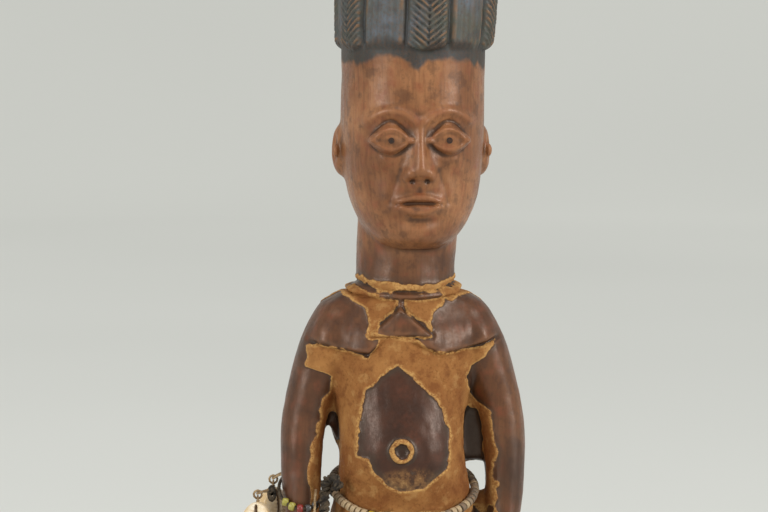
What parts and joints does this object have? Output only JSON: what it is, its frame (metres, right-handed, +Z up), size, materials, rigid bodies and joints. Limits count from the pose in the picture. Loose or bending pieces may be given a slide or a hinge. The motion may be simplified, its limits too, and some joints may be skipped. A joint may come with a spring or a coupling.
{
  "type": "carved twin figure",
  "caption": "Carved wooden standing figure with a tall braided coiffure and round base, a beaded waist strand, and cowrie strands tied at one wrist.",
  "frame": {"origin": "middle of the flat underside of the round base", "axes": "+Z up, the figure faces -Y, +X to the left hand of the figure"},
  "size_m": [0.0861, 0.068, 0.2755],
  "materials": {
    "wood": "satin",
    "iron": "matt",
    "string": "matt",
    "fibre": "matt",
    "disc_bead": "satin",
    "yellow_glass": "gloss",
    "blue_glass": "gloss",
    "green_glass": "gloss",
    "red_glass": "gloss",
    "dark_glass": "gloss",
    "cowrie_shell": "gloss"
  },
  "bodies": {
    "figure": {"carved_figure": "wood", "pupil_pin_right": "iron", "pupil_pin_left": "iron", "waist_cord": "string", "waist_disc_beads": "disc_bead", "waist_yellow_beads": "yellow_glass", "waist_blue_beads": "blue_glass", "waist_knot": "fibre", "wrist_cord": "fibre", "wrist_yellow_beads": "green_glass", "wrist_red_bead": "red_glass", "wrist_dark_beads": "dark_glass", "wrist_outer_knot": "fibre", "side_tie": "fibre", "side_tie_thread": "string", "rear_strand_eye": "string", "front_strand_eye": "string"},
    "rear_loop": {"rear_strand_loop": "string"},
    "rear_strand": {"rear_strand_cord": "string", "rear_strand_knot": "string", "rear_cowrie_1": "cowrie_shell", "rear_cowrie_2": "cowrie_shell", "rear_cowrie_3": "cowrie_shell", "rear_cowrie_4": "cowrie_shell"},
    "front_loop": {"front_strand_loop": "string"},
    "front_strand": {"front_strand_cord": "string", "front_strand_knot": "string", "front_cowrie_1": "cowrie_shell", "front_cowrie_2": "cowrie_shell", "front_cowrie_3": "cowrie_shell", "front_cowrie_4": "cowrie_shell"}
  },
  "joints": [
    {"name": "rear_strand_out", "type": "hinge", "parent": "figure", "child": "rear_loop", "pos_m": [-0.0383, 0.0116, 0.0804], "axis": [0, 1, 0], "range_deg": [-2, 70]},
    {"name": "rear_strand_sway", "type": "hinge", "parent": "rear_loop", "child": "rear_strand", "pos_m": [-0.0383, 0.0116, 0.07882], "axis": [1, 0, 0], "range_deg": [-3, 60]},
    {"name": "front_strand_out", "type": "hinge", "parent": "figure", "child": "front_loop", "pos_m": [-0.0438, -0.003, 0.0778], "axis": [0, 1, 0], "range_deg": [-2, 70]},
    {"name": "front_strand_sway", "type": "hinge", "parent": "front_loop", "child": "front_strand", "pos_m": [-0.0438, -0.003, 0.07622], "axis": [1, 0, 0], "range_deg": [-60, 3]}
  ]
}
